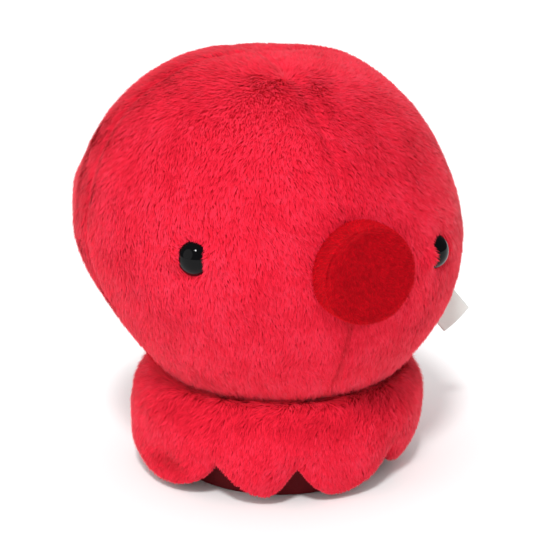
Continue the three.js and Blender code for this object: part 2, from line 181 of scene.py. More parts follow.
class ColourSettings(bpy.types.PropertyGroup):
    plush: colour("Plush", (0.90, 0.017, 0.048), "Colour of the long pile")
    # The deep colour darkens the strands towards their roots and where the tone is low: at random, and as
    # painted shade in the seams' parting and the painted shadow under the snout.
    plush_deep_and_shade: colour("Deep plush", (0.50, 0.003, 0.012), "Colour where the pile is pressed or parted")
    plush_tip: colour("Plush tips", (0.97, 0.062, 0.128), "Colour of the tips in the light")
    plush_cloth: colour("Plush backing", (0.62, 0.006, 0.018), "Colour of the cloth under the long pile")
    snout: colour("Snout", (0.60, 0.0006, 0.008), "Colour of the snout's short pile")
    snout_tip: colour("Snout tips", (0.88, 0.003, 0.014), "Colour of the short pile's tips")
    # The lining and the base are near black: a painted shade for the dark gaps under the skirt, between the
    # legs.
    lining: colour("Lining", (0.10, 0.002, 0.005), "Colour of the lining and the base")
    filling: colour("Filling", (0.90, 0.89, 0.86), "Colour of the fibre filling")
    bag: colour("Pellet bag", (0.80, 0.77, 0.70), "Colour of the pellet bag")
    label: colour("Label", (0.68, 0.67, 0.64), "Colour of the label")
    eye: colour("Eyes", (0.003, 0.003, 0.0035), "Colour of the eyes")
    washer: colour("Washers", (0.85, 0.84, 0.80), "Colour of the eye washers")
    floor: colour("Floor", (0.95, 0.95, 0.95), "Colour of the floor")


class StageSettings(bpy.types.PropertyGroup):
    camera_azimuth: angle("Camera azimuth", -24.5, "Turn of the camera round the toy")
    camera_elevation: angle("Camera elevation", 18, "Height of the camera above the horizon")
    camera_distance: length("Camera distance", 0.65, "From the camera to the middle of the toy")
    aim_z: length("Aim", 75 * MM, "Height that the camera looks at")
    lens: factor("Lens", 120.2, "Focal length in millimetres")
    shift_x: factor("Shift sideways", -0.0073, "Sideways shift of the camera's frame")
    shift_y: factor("Shift upwards", -0.0327, "Upward shift of the camera's frame")
    floor_size: length("Floor size", 6.0, "Width of the floor")
    room_light: factor("Room light", 0.82, "Strength of the light from all round")
    key_light: factor("Key light", 1.75, "Strength of the light from the front")
    side_light: factor("Side light", 0.8, "Strength of the soft light from the side")


class OctopusSettings(bpy.types.PropertyGroup):
    head: PointerProperty(type=HeadSettings)
    skirt: PointerProperty(type=SkirtSettings)
    pile: PointerProperty(type=PileSettings)
    face: PointerProperty(type=FaceSettings)
    colours: PointerProperty(type=ColourSettings)
    stage: PointerProperty(type=StageSettings)


def settings():
    return bpy.context.scene.octopus


# ---- Small helpers ------------------------------------------------------


def direction(azimuth, elevation):
    """The unit vector that leaves the head at an azimuth and an elevation, in degrees."""
    a, e = math.radians(azimuth), math.radians(elevation)
    return np.array([math.sin(a) * math.cos(e), -math.cos(a) * math.cos(e), math.sin(e)])


def smooth_step(x, low, high):
    t = np.clip((x - low) / (high - low), 0, 1)
    return t * t * (3 - 2 * t)


def fading(distance, reach):
    """1 in the middle of a soft spot, falling to nothing over its reach."""
    return np.exp(-((distance / reach) ** 2))


def lengths(vectors):
    return np.linalg.norm(vectors, axis=1)


def unit_rows(vectors, least=0.0):
    """Vectors at length 1; one shorter than the least length stays short."""
    return vectors / np.maximum(lengths(vectors), least)[:, None]


def lumps(points, size, seed):
    """Soft random heights from about -1 to 1 at points, with lumps of a size."""
    shift = Vector((seed * 7.31, seed * 3.17, seed * 5.71))
    return np.array([noise.noise(Vector(p) / size + shift) for p in points])


def mesh_object(name, points, faces):
    """A new object of a mesh, with smooth faces."""
    mesh = bpy.data.meshes.new(name)
    mesh.from_pydata([tuple(p) for p in points], [], faces)
    mesh.validate()
    mesh.update()
    mesh.shade_smooth()
    item = bpy.data.objects.new(name, mesh)
    bpy.context.scene.collection.objects.link(item)
    return item


def grid_faces(rows, columns, closed):
    """Quads between neighbouring rows and columns of a grid of points."""
    around = columns if closed else columns - 1
    return [
        (
            row * columns + column,
            (row + 1) * columns + column,
            (row + 1) * columns + (column + 1) % columns,
            row * columns + (column + 1) % columns,
        )
        for row in range(rows - 1)
        for column in range(around)
    ]


def copy_of(source, name):
    item = source.copy()
    item.data = source.data.copy()
    item.name = item.data.name = name
    bpy.context.scene.collection.objects.link(item)
    return item


def part_of(source, name, keep):
    """A new object with those faces of a source whose index keep() accepts, and its attributes."""
    item = copy_of(source, name)
    shape = bmesh.new()
    shape.from_mesh(item.data)
    shape.faces.ensure_lookup_table()
    unwanted = [face for face in shape.faces if not keep(face.index)]
    bmesh.ops.delete(shape, geom=unwanted, context="FACES")
    shape.to_mesh(item.data)
    shape.free()
    return item


def store_nap(item, comb, pile, tone):
    """Stores for each point of a cloth which way its strands lie, how long they are and their tone."""
    for name, values in (("comb", comb), ("pile", pile), ("tone", tone)):
        kind, field = ("FLOAT_VECTOR", "vector") if values.ndim > 1 else ("FLOAT", "value")
        data = item.data.attributes.new(name, kind, "POINT").data
        data.foreach_set(field, np.ravel(values).astype(np.float32))


def coordinates(item):
    flat = np.empty(len(item.data.vertices) * 3, np.float32)
    item.data.vertices.foreach_get("co", flat)
    return flat.reshape(-1, 3).astype(float)


def move_points(item, points):
    item.data.vertices.foreach_set("co", np.ravel(points).astype(np.float32))
    item.data.update()


def applied(item):
    """Turns an object's modifiers into plain mesh."""
    graph = bpy.context.evaluated_depsgraph_get()
    mesh = bpy.data.meshes.new_from_object(item.evaluated_get(graph), depsgraph=graph)
    mesh.name = item.name
    item.modifiers.clear()
    old, item.data = item.data, mesh
    bpy.data.meshes.remove(old)


def give(item, material):
    item.data.materials.clear()
    item.data.materials.append(material)


def thicken(item, name, thickness, offset):
    """Gives a single layer its thickness, inwards for an offset of -1 and both ways for 0."""
    thick = item.modifiers.new(name, "SOLIDIFY")
    thick.thickness = thickness
    thick.offset = offset
    applied(item)


# ---- Node trees ---------------------------------------------------------


class Nodes:
    """Adds nodes to a tree. A value is put on an input, and a socket is linked to it."""

    def __init__(self, tree):
        self.tree = tree

    def add(self, kind, inputs=None, **options):
        node = self.tree.nodes.new(kind)
        for name, value in options.items():
            setattr(node, name, value)
        for key, value in (inputs or {}).items():
            target = node.inputs[key]
            if isinstance(value, bpy.types.NodeSocket):
                self.tree.links.new(value, target)
            else:
                target.default_value = value
        return node

    def math(self, operation, first, *others):
        """The result of an operation, taken from left to right over all the values."""
        for other in others or (0.0,):
            first = self.add("ShaderNodeMath", {0: first, 1: other}, operation=operation).outputs[0]
        return first

    def plus(self, *values):
        return self.math("ADD", *values)

    def minus(self, *values):
        return self.math("SUBTRACT", *values)

    def times(self, *values):
        return self.math("MULTIPLY", *values)

    def ranged(self, value, low, high, start=0.0, end=1.0, smooth=False):
        """A value's place between low and high, run out to between start and end."""
        way = "SMOOTHSTEP" if smooth else "LINEAR"
        inputs = {0: value, 1: low, 2: high, 3: start, 4: end}
        return self.add("ShaderNodeMapRange", inputs, interpolation_type=way).outputs[0]

    def combined(self, x=0.0, y=0.0, z=0.0):
        return self.add("ShaderNodeCombineXYZ", {0: x, 1: y, 2: z}).outputs[0]

    def object_place(self):
        return self.add("ShaderNodeTexCoord").outputs["Object"]

    def noise(self, place, scale, detail, distortion=0.0):
        inputs = {"Vector": place, "Scale": scale, "Detail": detail, "Distortion": distortion}
        return self.add("ShaderNodeTexNoise", inputs).outputs[0]

    def relief(self, height, strength, distance, normal):
        """Bump from a height, put on a shader's normal."""
        inputs = {"Height": height, "Strength": strength, "Distance": distance}
        self.tree.links.new(self.add("ShaderNodeBump", inputs).outputs[0], normal)

    def vector(self, operation, *values):
        node = self.add("ShaderNodeVectorMath", dict(enumerate(values)), operation=operation)
        return node.outputs["Value" if operation in ("DOT_PRODUCT", "LENGTH", "DISTANCE") else "Vector"]

    def scaled(self, vector, amount):
        return self.add("ShaderNodeVectorMath", {0: vector, "Scale": amount}, operation="SCALE").outputs[0]

    def mix_colour(self, share, first, second, blend="MIX"):
        node = self.add("ShaderNodeMix", {0: share, 6: first, 7: second}, data_type="RGBA", blend_type=blend)
        return node.outputs[2]


def rgba(value):
    return (*value, 1.0)


def dimmed(tint, share):
    return [share * value for value in tint]


def new_group(name, kind, inputs, outputs):
    """A node group with named sockets, its input node and its output node."""
    tree = bpy.data.node_groups.new(name, kind)
    for socket, value in inputs.items():
        kinds = {float: "NodeSocketFloat", int: "NodeSocketInt", tuple: "NodeSocketColor"}
        made = tree.interface.new_socket(socket, in_out="INPUT", socket_type=kinds.get(type(value), value))
        if type(value) in kinds:
            made.default_value = value
    for socket, socket_type in outputs.items():
        tree.interface.new_socket(socket, in_out="OUTPUT", socket_type=socket_type)
    nodes = Nodes(tree)
    return tree, nodes, nodes.add("NodeGroupInput").outputs, nodes.add("NodeGroupOutput").inputs


def pile_tree():
    """Grows combed strands on a cloth, gathered in tufts. It reads comb, pile and tone from the cloth."""
    numbers = ("Density", "Strand", "Width", "Lift", "Mess", "Tuft", "Gather", "Unevenness")
    sockets = {
        "Geometry": "NodeSocketGeometry",
        **dict.fromkeys(numbers, 1.0),
        "Seed": 0,
        **dict.fromkeys(("Right eye", "Left eye", "Snout"), "NodeSocketVector"),
        **dict.fromkeys(("Eye hole", "Snout hole"), 0.0),
        "Material": "NodeSocketMaterial",
    }
    outputs = {"Geometry": "NodeSocketGeometry"}
    tree, n, given, result = new_group("Pile", "GeometryNodeTree", sockets, outputs)
    place = n.add("GeometryNodeInputPosition").outputs[0]

    def named(name, kind="FLOAT"):
        return n.add("GeometryNodeInputNamedAttribute", {"Name": name}, data_type=kind).outputs["Attribute"]

    def stored(geometry, name, value, kind="FLOAT", domain="POINT"):
        inputs = {"Geometry": geometry, "Name": name, "Value": value}
        return n.add("GeometryNodeStoreNamedAttribute", inputs, data_type=kind, domain=domain).outputs[0]

    def random_value(low, high, salt):
        inputs = {2: low, 3: high, "Seed": n.plus(given["Seed"], float(salt))}
        return n.add("FunctionNodeRandomValue", inputs, data_type="FLOAT").outputs[1]

    def moved(geometry, **inputs):
        return n.add("GeometryNodeSetPosition", {"Geometry": geometry, **inputs}).outputs[0]

    scattered = n.add(
        "GeometryNodeDistributePointsOnFaces",
        {"Mesh": given["Geometry"], "Density": given["Density"], "Seed": given["Seed"]},
        distribute_method="RANDOM",
    ).outputs
    roots = stored(scattered["Points"], "root_normal", scattered["Normal"], "FLOAT_VECTOR")

    # No strands under the eyes and the snout, or where the pile is bare, and shorter ones round them.
    def beyond(middle, radius, squeeze):
        apart = n.vector("MULTIPLY", n.vector("SUBTRACT", place, middle), (squeeze, squeeze, 1.0))
        return n.minus(n.vector("LENGTH", apart), radius)

    eyes = [beyond(given[eye], given["Eye hole"], EYE_HOLE_SQUEEZE) for eye in ("Right eye", "Left eye")]
    room = n.math("MINIMUM", *eyes, beyond(given["Snout"], given["Snout hole"], 1.0))
    bare = n.math("LESS_THAN", n.math("MINIMUM", room, n.minus(named("pile"), SHORTEST_PILE)), 0.0)
    unwanted = {"Geometry": roots, "Selection": bare}
    roots = n.add("GeometryNodeDeleteGeometry", unwanted, domain="POINT").outputs[0]
    near = n.ranged(room, 0.0, RIM_REACH, RIM_PILE, 1.0, smooth=True)

    # Tufts: the strands of one cell lean towards its middle and share a shade.
    waves = n.math("DIVIDE", 1.0, given["Tuft"])
    cell = n.add("ShaderNodeTexVoronoi", {"Vector": place, "Scale": waves, "Randomness": 1.0}).outputs
    normal = named("root_normal", "FLOAT_VECTOR")
    pull = n.vector("SUBTRACT", cell["Position"], place)
    pull = n.vector("SUBTRACT", pull, n.scaled(normal, n.vector("DOT_PRODUCT", pull, normal)))
    pull = n.scaled(pull, given["Gather"])
    cell_tilt = n.vector("SUBTRACT", cell["Color"], (0.5, 0.5, 0.5))
    any_way = {0: (-1, -1, -1), 1: (1, 1, 1)}
    strand_tilt = n.add("FunctionNodeRandomValue", any_way, data_type="FLOAT_VECTOR").outputs[0]
    shade = n.vector("ADD", normal, n.scaled(cell_tilt, TUFT_TILT))
    shade = n.vector("NORMALIZE", n.vector("ADD", shade, n.scaled(strand_tilt, STRAND_TILT)))
    split = n.add("ShaderNodeSeparateXYZ", {0: cell_tilt}).outputs
    uneven = n.plus(random_value(-STRAND_TONE, STRAND_TONE, 1), n.times(split[0], TUFT_TONE))
    tone = n.plus(named("tone"), n.times(uneven, given["Unevenness"]))
    roots = stored(roots, "pull", pull, "FLOAT_VECTOR")
    roots = stored(roots, "shade_normal", shade, "FLOAT_VECTOR")
    roots = stored(roots, "strand_tone", n.add("ShaderNodeClamp", {0: tone}).outputs[0])

    # One strand: a narrow strip of two steps along +Y that rises and ends in a point.
    strip = n.add("GeometryNodeMeshGrid", {"Size X": 1.0, "Size Y": 1.0, "Vertices X": 2, "Vertices Y": 3})
    grid = n.add("ShaderNodeSeparateXYZ", {0: place}).outputs
    along = n.plus(grid[1], 0.5)
    strand = stored(stored(strip.outputs["Mesh"], "along", along), "side", grid[0])
    taper = n.minus(1.0, n.times(along, along))
    wide = n.times(grid[0], taper, given["Width"])
    forward = n.times(n.math("POWER", along, 1.35), given["Strand"])
    rise = n.times(n.math("POWER", along, 0.75), given["Strand"], given["Lift"])
    strand = moved(strand, Position=n.combined(wide, forward, rise))
    strand = n.add("GeometryNodeMergeByDistance", {"Geometry": strand, "Distance": 1e-6}).outputs[0]

    # Each strand stands on the cloth along the nap, turned and pitched a little by its tuft and by chance.
    facing = n.add(
        "FunctionNodeAxesToRotation",
        {"Primary Axis": normal, "Secondary Axis": named("comb", "FLOAT_VECTOR")},
        primary_axis="Z",
        secondary_axis="Y",
    ).outputs[0]
    swirl = n.times(n.minus(n.noise(place, 70.0, 1.0), 0.5), 1.6)
    turn = n.plus(n.times(random_value(-1.0, 1.0, 2), given["Mess"]), swirl, n.times(split[1], 0.5))
    pitch = n.plus(random_value(-0.1, 0.1, 3), n.times(split[2], 0.2))
    wiggle = {0: facing, 1: n.combined(pitch, 0.0, turn)}
    facing = n.add("FunctionNodeRotateRotation", wiggle, rotation_space="LOCAL").outputs[0]
    size = n.times(near, named("pile"), random_value(0.72, 1.08, 4))
    scale = n.combined(random_value(0.7, 1.2, 5), size, size)
    grown = {"Points": roots, "Instance": strand, "Rotation": facing, "Scale": scale}
    grown = n.add("GeometryNodeInstanceOnPoints", grown).outputs[0]
    pile = n.add("GeometryNodeRealizeInstances", {"Geometry": grown}).outputs[0]
    pile = moved(pile, Offset=n.scaled(named("pull", "FLOAT_VECTOR"), n.math("POWER", named("along"), 1.2)))

    # Strands of one tone share a narrow column of the map, with the tips at its top.
    column = n.math("FLOOR", n.times(named("strand_tone"), TONES - 0.01))
    across = n.plus(n.times(named("side"), 0.7), 0.5)
    u = n.math("DIVIDE", n.plus(column, across), TONES)
    v = n.plus(n.times(named("along"), 0.96), 0.02)
    pile = stored(pile, "OFBake", n.combined(u, v), "FLOAT2", "CORNER")
    pile = n.add("GeometryNodeSetMaterial", {"Geometry": pile, "Material": given["Material"]}).outputs[0]
    tree.links.new(pile, result["Geometry"])
    return tree


def grow_pile(cloth, name, material, values):
    """A new object of strands grown on a cloth, with the values given for the tree's inputs."""
    tree = bpy.data.node_groups.get("Pile") or pile_tree()
    item = copy_of(cloth, name)
    modifier = item.modifiers.new("Pile", "NODES")
    modifier.node_group = tree
    sockets = tree.interface.items_tree
    keys = {socket.name: socket.identifier for socket in sockets if socket.in_out == "INPUT"}
    for key, value in {**values, "Material": material}.items():
        modifier[keys[key]] = value
    applied(item)
    mesh = item.data
    normals = np.empty(len(mesh.vertices) * 3, np.float32)
    mesh.attributes["shade_normal"].data.foreach_get("vector", normals)
    mesh.shade_smooth()
    mesh.normals_split_custom_set_from_vertices(normals.reshape(-1, 3))
    for spare in ("root_normal", "shade_normal", "pull", "comb", "pile", "tone", "side"):
        if spare in mesh.attributes:
            mesh.attributes.remove(mesh.attributes[spare])
    return item


def long_pile(seed, **changes):
    """The pile tree's values for the plush, with changes for one panel."""
    p = settings().pile
    values = {
        "Density": p.density,
        "Strand": p.strand,
        "Width": p.width,
        "Lift": p.depth / p.strand,
        "Mess": p.mess,
        "Tuft": p.tuft,
        "Gather": p.gather,
        "Unevenness": 1.0,
        "Seed": seed,
    }
    return {**values, **changes}


def sew_panel(whole, part, name, keep, values):
    """Cuts one panel out of a part's whole skin, grows its pile and backs it."""
    cloth = part_of(whole, f"{part}_cloth_{name}", keep)
    fur = grow_pile(cloth, f"{part}_pile_{name}", plush_material(), values)
    give(cloth, backing_material())
    thicken(cloth, "Backing", BACKING, -1)
    for item in (cloth, fur):
        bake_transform(item)
    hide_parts(f"{part}_{name}")


# ---- Materials ----------------------------------------------------------


SHADER_SOCKETS = {
    "roughness": "Roughness",
    "specular": "Specular IOR Level",
    "sheen": "Sheen Weight",
    "sheen_roughness": "Sheen Roughness",
}


def material_of(name, build, **options):
    """The material of a name, made by its build function the first time."""
    made = bpy.data.materials.get(name)
    if made:
        return made
    made = bpy.data.materials.new(name)
    made.use_nodes = True
    made.node_tree.nodes.clear()
    nodes = Nodes(made.node_tree)
    shader = nodes.add("ShaderNodeBsdfPrincipled")
    output = nodes.add("ShaderNodeOutputMaterial", {"Surface": shader.outputs[0]})
    output.is_active_output = True
    for socket, value in options.items():
        shader.inputs[SHADER_SOCKETS[socket]].default_value = value
    build(nodes, shader.inputs)
    return made


def shared_group(name, inputs, outputs, build):
    """The shader group of a name, made by its build function the first time."""
    found = bpy.data.node_groups.get(name)
    if found:
        return found
    tree, n, given, result = new_group(name, "ShaderNodeTree", inputs, outputs)
    for socket, value in build(n, given).items():
        tree.links.new(value, result[socket])
    return tree


def nap_group():
    """Colour of a strand from its tone and from root to tip."""

    def build(n, given):
        low = n.ranged(given["Tone"], 0.0, 0.55)
        high = n.ranged(given["Tone"], 0.5, 1.0)
        flat = n.mix_colour(high, n.mix_colour(low, given["Deep"], given["Middle"]), given["Tip"])
        # Painted shade: each strand is darkened a quarter of the way to the deep colour at its root, fading
        # out towards its tip.
        root = n.ranged(given["Along"], 0.0, 0.75)
        return {"Color": n.mix_colour(root, n.mix_colour(0.25, flat, given["Deep"]), flat)}

    black = rgba((0, 0, 0))
    inputs = {"Tone": 0.5, "Along": 1.0, "Deep": black, "Middle": black, "Tip": black}
    return shared_group("Nap colour", inputs, {"Color": "NodeSocketColor"}, build)


def cloth_group():
    """A knitted backing or a woven cloth: a shade of the colour and a height for its threads."""

    def build(n, given):
        place = n.object_place()
        waves = {"Vector": place, "Scale": n.math("DIVIDE", 1.0, given["Thread"]), "Distortion": 0.6}
        threads = [
            n.add("ShaderNodeTexWave", waves, bands_direction=way).outputs[1] for way in ("Z", "DIAGONAL")
        ]
        height = n.times(*threads)
        # The threads' height also darkens the colour in the hollows between them, a painted shade; the noise
        # adds random unevenness.
        shade = n.plus(n.times(height, 0.25), n.noise(place, 180.0, 4.0))
        level = n.plus(1.0, n.times(n.minus(shade, 0.6), given["Unevenness"]))
        grey = n.add("ShaderNodeCombineColor", {0: level, 1: level, 2: level}).outputs[0]
        return {"Color": n.mix_colour(1.0, given["Color"], grey, "MULTIPLY"), "Height": height}

    inputs = {"Color": rgba((0.5, 0.5, 0.5)), "Thread": 0.5 * MM, "Unevenness": 0.2}
    return shared_group("Cloth", inputs, {"Color": "NodeSocketColor", "Height": "NodeSocketFloat"}, build)


def pile_material(name, deep, middle, tip, sheen):
    """A material for strands, from the tone and the along attributes that they carry."""

    def build(n, shader):
        tone = n.add("ShaderNodeAttribute", attribute_name="strand_tone").outputs["Fac"]
        along = n.add("ShaderNodeAttribute", attribute_name="along").outputs["Fac"]
        colours = {"Deep": rgba(deep), "Middle": rgba(middle), "Tip": rgba(tip)}
        nap = n.add("ShaderNodeGroup", {"Tone": tone, "Along": along, **colours}, node_tree=nap_group())
        n.tree.links.new(nap.outputs["Color"], shader["Base Color"])
        shader["Sheen Tint"].default_value = rgba([0.5 + 0.5 * value for value in tip])

    return material_of(name, build, roughness=0.85, sheen=sheen, sheen_roughness=0.45, specular=0.08)


def cloth_material(name, tint, thread=0.5 * MM, unevenness=0.25, bump=0.3, **options):
    """A matt cloth with its threads as bump."""

    def build(n, shader):
        values = {"Color": rgba(tint), "Thread": thread, "Unevenness": unevenness}
        cloth = n.add("ShaderNodeGroup", values, node_tree=cloth_group())
        n.tree.links.new(cloth.outputs["Color"], shader["Base Color"])
        n.relief(cloth.outputs["Height"], bump, thread / 2, shader["Normal"])

    return material_of(name, build, **{"roughness": 0.9, "specular": 0.2, **options})


def fibre_material():
    """Loose white fibre."""

    def build(n, shader):
        wisps = n.noise(n.object_place(), 160.0, 6.0, 2.0)
        tint = settings().colours.filling
        n.tree.links.new(n.mix_colour(wisps, rgba(dimmed(tint, 0.8)), rgba(tint)), shader["Base Color"])
        n.relief(wisps, 0.6, 1 * MM, shader["Normal"])

    return material_of("Fibre filling", build, roughness=1.0)


def plastic_material(name, tint, roughness, wear, **options):
    """Moulded plastic with faint rub marks in its gloss."""

    def build(n, shader):
        marks = n.noise(n.object_place(), 900.0, 5.0)
        n.tree.links.new(n.ranged(marks, 0.35, 0.75, roughness, roughness + wear), shader["Roughness"])
        shader["Base Color"].default_value = rgba(tint)

    return material_of(name, build, **options)


def plush_material():
    c = settings().colours
    return pile_material("Plush pile", c.plush_deep_and_shade, c.plush, c.plush_tip, 0.2)


def backing_material():
    return cloth_material("Plush backing", settings().colours.plush_cloth)


def short_pile_material():
    c = settings().colours
    # The short pile's deep colour, a darker snout colour, is its painted shade at the roots and its darker
    # tones.
    return pile_material("Short pile", dimmed(c.snout, 0.55), c.snout, c.snout_tip, 0.0)


# ---- Head ---------------------------------------------------------------

HEAD_ROWS = 84  # from the crown to the neck seam
GORE_STEPS = 70  # columns in one gore
EYE_FOLD_OFF = 6.2 * MM  # from the middle of an eye to the fold at each side of it
FIRST_ROW = 0.02  # angle of the first row from the crown, in radians
CROWDING = 0.3  # how much closer the columns are in the middle of a gore, where the eyes are
EYE_DENT_REACH = 9 * MM
# The nap of the head starts from a whorl: its azimuth and elevation in degrees, and its size.
WHORL = (-13, 63)
WHORL_SIZE = math.radians(20)
# Where the filling makes the head fuller or flatter: azimuth, elevation, reach in degrees, height.
HEAD_BULGES = [
    (-103, -32, 20, -0.9 * MM),
    (-130, 40, 16, -2.0 * MM),
    (-114, -3, 17, 1.5 * MM),
    (-119, 13, 6, 1.8 * MM),
    (97, 58, 15, 2.0 * MM),
    (60, -21, 18, 0.9 * MM),
]
# Painted shade and painted light on the nap, darker or paler with how the light falls on the head: azimuth,
# elevation, reach in degrees, change of tone.
HEAD_PAINTED_LIGHT_AND_SHADE = [
    (155, 66, 26, -0.22),
    (-90, 60, 22, -0.06),
    (-60, -10, 40, 0.05),
    (-112, 20, 12, -0.12),
    (75, -5, 24, -0.16),
]


def head_middle():
    """The middle of the head at its widest height."""
    s = settings().head
    return np.array([s.offset, 0, s.crown_z - s.height])


def head_angle(z, inset):
    """The angle from the crown at which the head's outline comes down to a height."""
    s = settings().head
    share = (z - head_middle()[2]) / (s.height - inset)
    curve = s.crown if share > 0 else s.chin
    return math.acos(math.copysign(abs(share) ** (curve / 2), share))


def head_points(azimuth, angle, inset):
    """Points of the head's smooth shape, drawn in by an inset."""
    s = settings().head
    up = np.cos(angle)
    curve = np.where(up > 0, s.crown, s.chin)
    rise = np.sign(up) * np.abs(up) ** (2 / curve) * (s.height - inset)
    radius = (s.radius - inset) * np.sin(angle) ** (2 / s.shoulder)
    x = radius * np.sin(azimuth) + s.offset + s.slant * rise
    return np.stack([x, -radius * np.cos(azimuth), head_middle()[2] + rise], -1)


def weighted(heading, spots):
    """The sum of soft round spots at headings; a spot is azimuth, elevation, reach and amount."""
    total = np.zeros(len(heading))
    for azimuth, elevation, reach, amount in spots:
        apart = np.degrees(np.arccos(np.clip(heading @ direction(azimuth, elevation), -1, 1)))
        total += amount * np.exp(-((apart / reach) ** 2))
    return total


def turned_axis(points):
    """The direction of a turned solid's axis: its spread is the same in both directions across it."""
    centred = points - points.mean(0)
    spread, directions = np.linalg.eigh(centred.T @ centred)
    return directions[:, np.argmin([abs(spread[i - 1] - spread[i - 2]) for i in range(3)])]


def eye_axis(side):
    """The middle of an eye's dome base and the direction it faces, from its solid in the frame."""
    points = coordinates(frame["nodes"][f"eye_{side}"])
    apart = lengths(points - head_middle())
    tip, shank = points[np.argmax(apart)], points[np.argmin(apart)]
    out = turned_axis(points)
    if out @ (tip - shank) < 0:
        out = -out
    along = points @ out
    across = points - np.outer(along, out)
    centre = (across.max(0) + across.min(0)) / 2
    return centre + out * (along.max() - settings().face.eye_dome - centre @ out), out


def snout_axis():
    """The point where the snout's axis meets its end disc's front, and the direction it faces."""
    low, high = SNOUT_DISC
    front = np.array([(low.x + high.x) / 2, low.y, (low.z + high.z) / 2])
    return front, direction(math.degrees(settings().face.snout_turn), 0)


def off_seam(azimuth, radius):
    """Distance round the head to the nearest seam."""
    return np.abs((azimuth / QUARTER + 0.5) % 1 - 0.5) * QUARTER * radius


def make_head_cloth(inset):
    """The sewn and stuffed skin of the head, from the crown down and in at the neck seam."""
    s = settings().head
    f = settings().face
    even = np.arange(GORE_STEPS) / GORE_STEPS
    crowded = even - CROWDING * np.sin(2 * math.pi * even) / (2 * math.pi)
    azimuths = np.concatenate([(crowded + quarter) * QUARTER for quarter in range(4)])
    columns = len(azimuths)
    last = head_angle(s.neck_z + 0.35 * MM, inset)
    angles = np.linspace(FIRST_ROW, last, HEAD_ROWS)
    rows = [head_points(azimuths, np.full(columns, angle), inset) for angle in angles]
    # The cloth tucks in under the head at the neck seam.
    edge = rows[-1]
    centre = np.array([edge[:, 0].mean(), 0])
    for step in (1, 2, 3):
        tucked = edge.copy()
        tucked[:, :2] = centre + (tucked[:, :2] - centre) * (1 - 0.05 * step)
        tucked[:, 2] += 0.1 * MM * step
        rows.append(tucked)
    points = np.concatenate([*rows, head_points(np.zeros(1), np.zeros(1), inset)])

    middle = head_middle()
    heading = unit_rows(points - middle)
    lift = weighted(heading, HEAD_BULGES) + s.lump * lumps(points, 26 * MM, 1)
    around = np.tile(azimuths, len(rows))
    seam = off_seam(around, lengths(points[:-1, :2] - middle[:2]))
    lift[:-1] -= s.seam_depth * fading(seam, s.seam_width)
    lift *= smooth_step(points[:, 2], s.neck_z, s.neck_z + 12 * MM)
    for side in ("right", "left"):
        eye, out = eye_axis(side)
        beside = np.cross(out, UP)
        lift -= f.eye_dent * fading(lengths(points - eye), EYE_DENT_REACH)
        for way in (-EYE_FOLD_OFF, EYE_FOLD_OFF):
            lift += f.eye_fold * fading(lengths(points - eye - way * beside), EYE_FOLD_OFF / 2)
    pole = len(points) - 1
    faces = grid_faces(len(rows), columns, True)
    faces += [(pole, column, (column + 1) % columns) for column in range(columns)]
    return mesh_object("head_cloth", points + heading * lift[:, None], faces), columns


def comb_head(item):
    """Combs the head: down its sides, away from the whorl on its crown, and over the eyes' rims."""
    s = settings().head
    f = settings().face
    points = coordinates(item)
    heading = unit_rows(points - head_middle())
    whorl = direction(*WHORL)
    high = smooth_step(heading[:, 2], 0.45, 0.95)[:, None]
    away = -whorl * high - UP * (1 - high)
    down = unit_rows(away - heading * np.sum(heading * away, axis=1)[:, None], 0.05)
    side = np.cross(heading, down)
    parting = np.exp(4 * (heading @ whorl - 1) / WHORL_SIZE**2)
    swing = 0.22 + 0.5 * lumps(points, 30 * MM, 8) + 0.35 * lumps(points, 9 * MM, 9)
    swing += 2 * parting * lumps(points, 7 * MM, 17)
    nap = down + side * swing[:, None]
    for name in ("right", "left"):
        eye, out = eye_axis(name)
        beside = np.cross(out, UP)
        near = np.exp(-((lengths(points - eye) / (7.5 * MM)) ** 4))
        nap += np.outer(1.2 * near * np.tanh((eye - points) @ beside / (2 * MM)), beside)

    # The seam through the face parts the pile, and a fringe hangs over the neck seam.
    azimuth = np.arctan2(heading[:, 0], -heading[:, 1])
    on_face = (np.abs(azimuth) < 0.4) & (points[:, 2] < 80 * MM)
    parted = np.where(on_face, 0.55, 0.12) * fading(off_seam(azimuth, s.radius), 1.3 * MM)
    fringe = 1 - smooth_step(points[:, 2], s.neck_z + 3 * MM, s.neck_z + 13 * MM)
    # The head's tone starts from painted shade and painted light, then adds random lumps.
    tone = 0.52 + weighted(heading, HEAD_PAINTED_LIGHT_AND_SHADE)
    tone += 0.10 * lumps(points, 11 * MM, 2) + 0.07 * lumps(points, 4 * MM, 3)
    # The fringe is paler, and the parting along the seams is darkened: a painted shade in the parting.
    tone += 0.12 * fringe - 0.5 * parted
    # A painted shadow under the snout: the tone falls in a flat patch below its rim.
    front, out = snout_axis()
    below = points - front + f.snout_length * out + f.snout_radius * UP
    below /= np.array([11 * MM, 8 * MM, 4.5 * MM])
    tone -= 0.4 * fading(lengths(below), 1)
    store_nap(item, nap, 1 + 0.8 * fringe - parted, tone)


class OCTOPUS_OT_head(bpy.types.Operator):
    """Sew the four gores of the head and grow their pile"""

    bl_idname = "octopus.head"
    bl_label = "Head"

    def execute(self, context):
        s = settings()
        whole, columns = make_head_cloth(0.85 * s.pile.depth)
        comb_head(whole)

        def on_gore(face, quarter):
            return face % columns // GORE_STEPS == quarter

        front, out = snout_axis()
        holes = {
            "Right eye": tuple(eye_axis("right")[0]),
            "Left eye": tuple(eye_axis("left")[0]),
            "Snout": tuple(front - s.face.snout_length * out),
            "Eye hole": s.face.eye_radius - 0.2 * MM,
            "Snout hole": s.face.snout_radius - 0.8 * MM,
        }
        for name, quarter in GORES:
            values = long_pile(s.pile.seed + quarter, **holes)
            sew_panel(whole, "head", name, lambda face: on_gore(face, quarter), values)
        bpy.data.objects.remove(whole)
        return {"FINISHED"}


